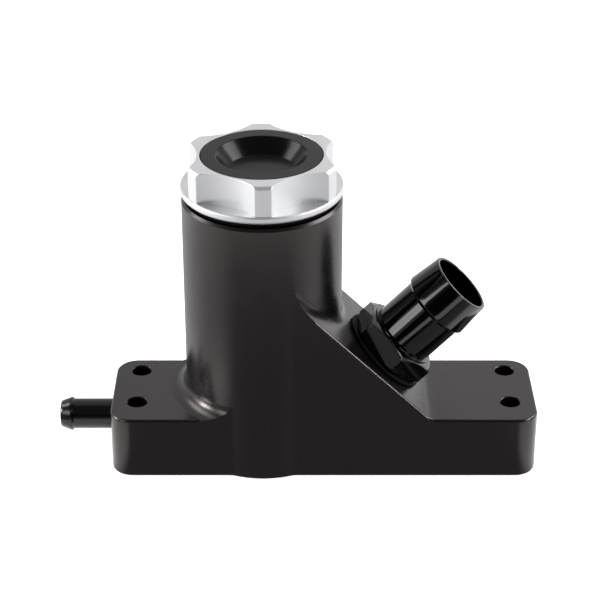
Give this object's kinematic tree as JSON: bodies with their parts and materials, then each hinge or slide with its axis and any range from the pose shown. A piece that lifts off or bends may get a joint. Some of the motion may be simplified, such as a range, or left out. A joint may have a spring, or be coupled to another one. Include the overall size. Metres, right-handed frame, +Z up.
{
  "type": "oil catch can",
  "caption": "Bolt-down oil catch can housing with a six-lobed screw cap, an angled breather hose barb and a small side return barb.",
  "frame": {"origin": "centre of the four-hole bolt pattern, on the underside of the base", "axes": "+Z up out of the base towards the cap; +X along the base from the return barb's end to the breather's end; -Y is the side seen in front"},
  "size_m": [0.1621, 0.0534, 0.1079],
  "materials": {
    "housing_black": "satin black anodised",
    "core_black": "satin black anodised",
    "ring_silver": "satin clear anodised",
    "fitting_black": "gloss black anodised",
    "barb_black": "satin black anodised",
    "seal_rubber": "matt nitrile rubber",
    "steel_sheet": "stamped stainless sheet",
    "spring_steel": "phosphated spring steel",
    "wire_mesh": "knitted stainless wire"
  },
  "bodies": {
    "base": {"housing": "housing_black", "base_o_ring": "seal_rubber", "baffle_plate": "steel_sheet", "baffle_snap_ring": "spring_steel", "mesh_screen_inner": "steel_sheet", "mesh_screen_outer": "steel_sheet", "separator_mesh": "wire_mesh", "breather_washer": "seal_rubber", "breather_fitting": "fitting_black", "return_barb": "barb_black"},
    "cap_seal": {"cap_o_ring": "seal_rubber"},
    "cap": {"cap_core": "core_black", "cap_grip_ring": "ring_silver", "cap_snap_ring": "spring_steel"}
  },
  "joints": [
    {"name": "cap_lift", "type": "slide", "parent": "base", "child": "cap_seal", "axis": [0, 0, 1], "range_m": [0, 0.01]},
    {"name": "cap_turn", "type": "hinge", "parent": "cap_seal", "child": "cap", "pos_m": [-0.0204, 0.0018, 0.0932], "axis": [0, 0, 1], "range_deg": [0, 900]}
  ],
  "couplings": [
    {"joint": "cap_lift", "follows": "cap_turn", "m_per_rad": 0.00063662}
  ]
}
